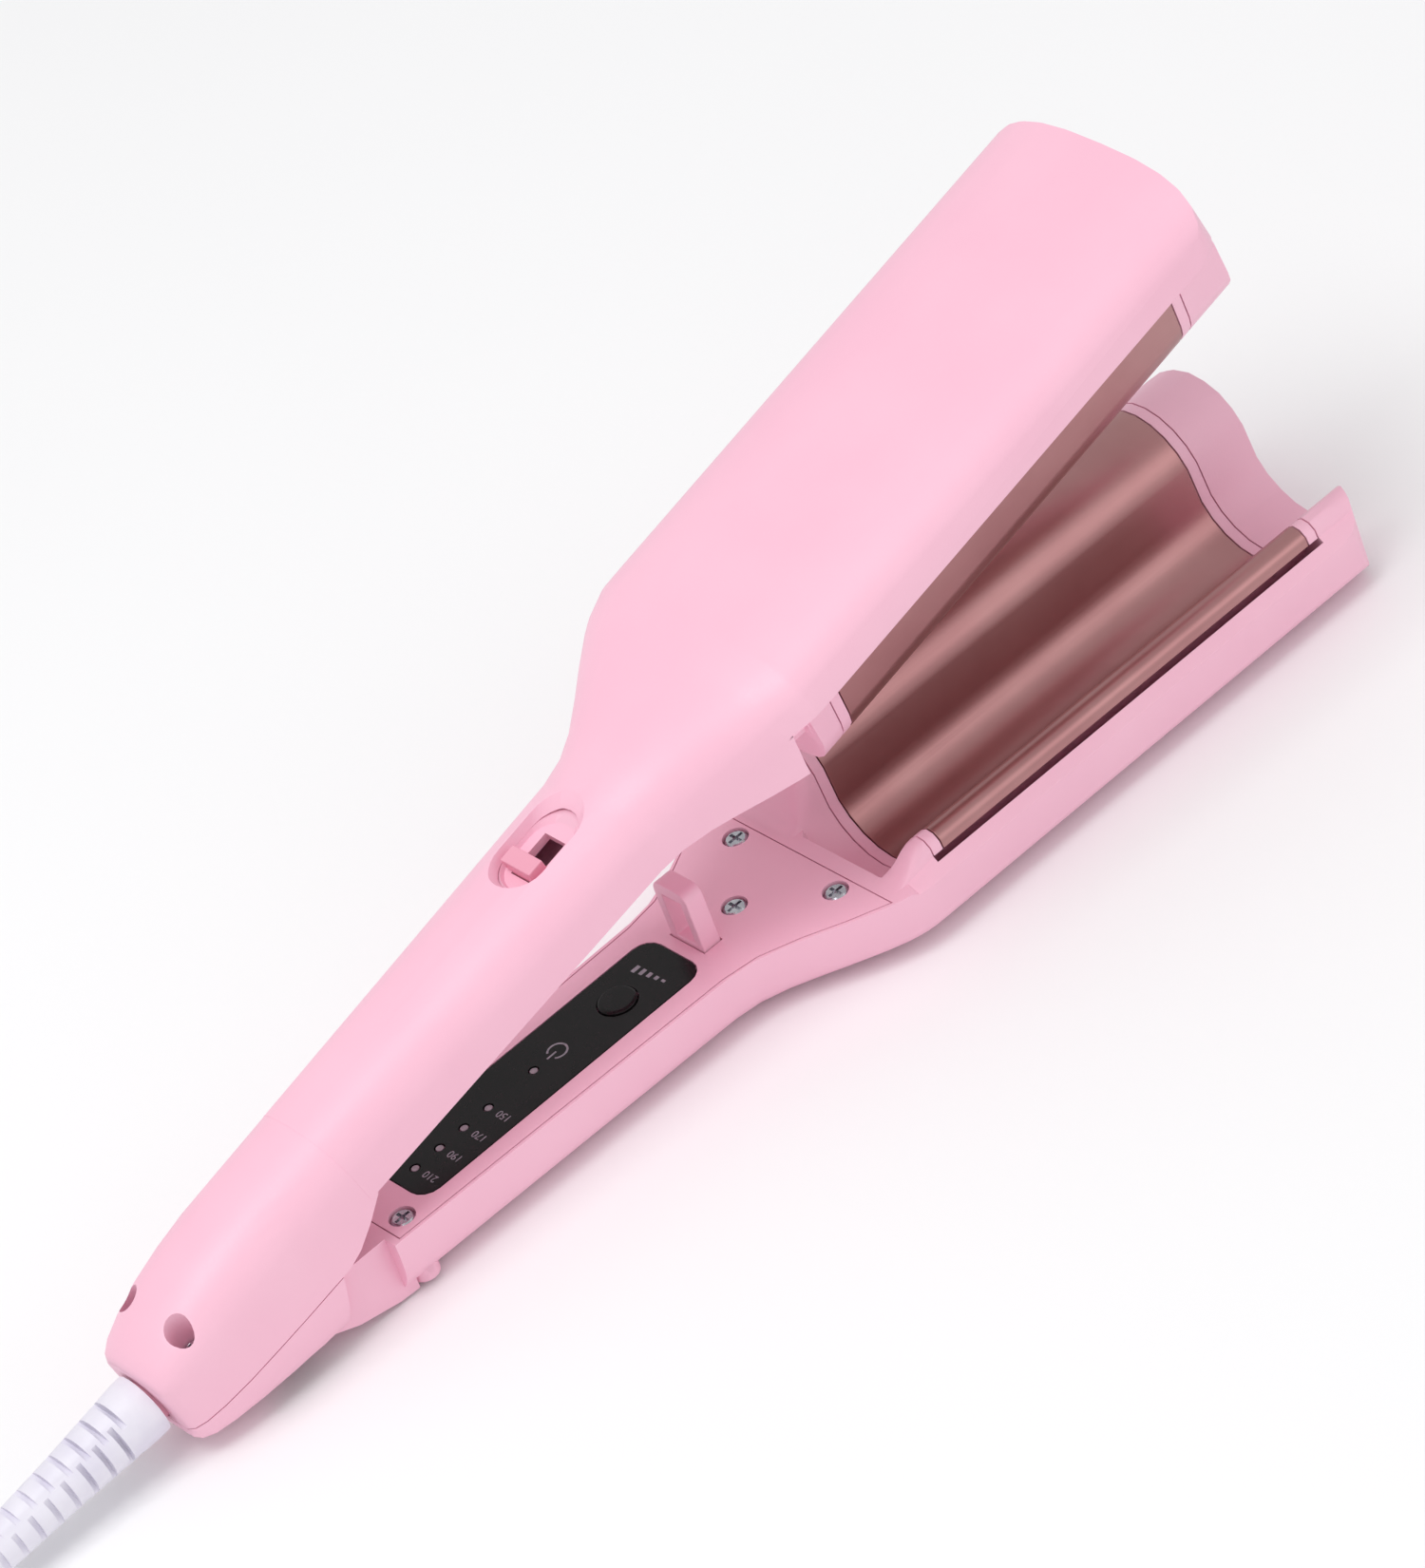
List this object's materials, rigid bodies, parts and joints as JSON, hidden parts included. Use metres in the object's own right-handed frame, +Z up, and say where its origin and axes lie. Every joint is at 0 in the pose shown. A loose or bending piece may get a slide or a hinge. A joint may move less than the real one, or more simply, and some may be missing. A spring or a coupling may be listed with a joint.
{
  "type": "hair crimper",
  "caption": "Hand-held hair wave iron with two hinged arms, deep wave-shaped heating plates, control panel, latch and mains cord.",
  "frame": {"origin": "on the resting surface, under the middle of the body and its strain relief, leaving out the free cord", "axes": "+X towards the tip of the jaws, +Y to the left, +Z up out of the surface that the lower arm lies on"},
  "size_m": [0.5045, 0.0975, 0.1119],
  "materials": {
    "pink_plastic": "satin",
    "slider_plastic": "satin",
    "rose_gold_plate": "satin coated",
    "bright_steel": "bright",
    "brown_ceramic": "matt",
    "black_panel": "gloss",
    "white_rubber": "satin",
    "green_board": "satin"
  },
  "bodies": {
    "upper_arm": {"upper_shell": "pink_plastic", "upper_inner_cover": "pink_plastic", "upper_plate_carrier": "pink_plastic", "upper_heating_plate": "rose_gold_plate", "upper_heater": "brown_ceramic", "upper_heater_clip": "bright_steel", "rear_cover": "pink_plastic", "rear_screw_left": "bright_steel", "rear_screw_right": "bright_steel", "hinge_pin": "bright_steel", "hinge_spring": "bright_steel", "terminal_block": "black_panel", "upper_wire": "white_rubber", "upper_cover_screw_front": "bright_steel", "upper_cover_screw_rear": "bright_steel", "power_cord": "white_rubber", "cord_tail": "white_rubber", "cord_coil": "white_rubber", "cord_tie": "black_panel", "plug_body": "white_rubber", "plug_pin_left": "bright_steel", "plug_pin_right": "bright_steel"},
    "lower_arm": {"lower_shell": "pink_plastic", "lower_inner_cover": "pink_plastic", "control_panel": "black_panel", "circuit_board": "green_board", "tact_switch": "bright_steel", "lower_plate_carrier": "pink_plastic", "lower_heating_plate": "rose_gold_plate", "lower_heater": "brown_ceramic", "lower_heater_clip": "bright_steel", "thermal_fuse": "bright_steel", "thermistor": "slider_plastic", "latch_loop": "pink_plastic", "lower_wire": "white_rubber", "power_led": "white_rubber", "temperature_led_1": "white_rubber", "temperature_led_2": "white_rubber", "temperature_led_3": "white_rubber", "temperature_led_4": "white_rubber", "cover_screw_front_left": "bright_steel", "cover_screw_front_right": "bright_steel", "cover_screw_middle": "bright_steel", "cover_screw_rear_left": "bright_steel", "cover_screw_rear_right": "bright_steel"},
    "button": {"push_button": "black_panel"},
    "slider": {"lock_slider": "slider_plastic"},
    "cord_exit": {"cord_collar": "slider_plastic", "strain_relief": "white_rubber"}
  },
  "joints": [
    {"name": "jaw_hinge", "type": "hinge", "parent": "upper_arm", "child": "lower_arm", "pos_m": [-0.10546, 0, 0.0145], "axis": [0, -1, 0], "range_deg": [0, 13.2], "stiffness_Nm_per_rad": 0.8, "springref_deg": -34.38},
    {"name": "lock_slide", "type": "slide", "parent": "upper_arm", "child": "slider", "axis": [0.9736, 0, 0.2284], "range_m": [0, 0.006]},
    {"name": "button_press", "type": "slide", "parent": "lower_arm", "child": "button", "axis": [0, 0, -1], "range_m": [0, 0.0005], "stiffness_N_per_m": 600, "springref_m": -0.0005},
    {"name": "cord_swivel", "type": "hinge", "parent": "upper_arm", "child": "cord_exit", "pos_m": [-0.13235, 0, 0.01395], "axis": [-0.9925, 0, -0.1219], "continuous": true}
  ]
}
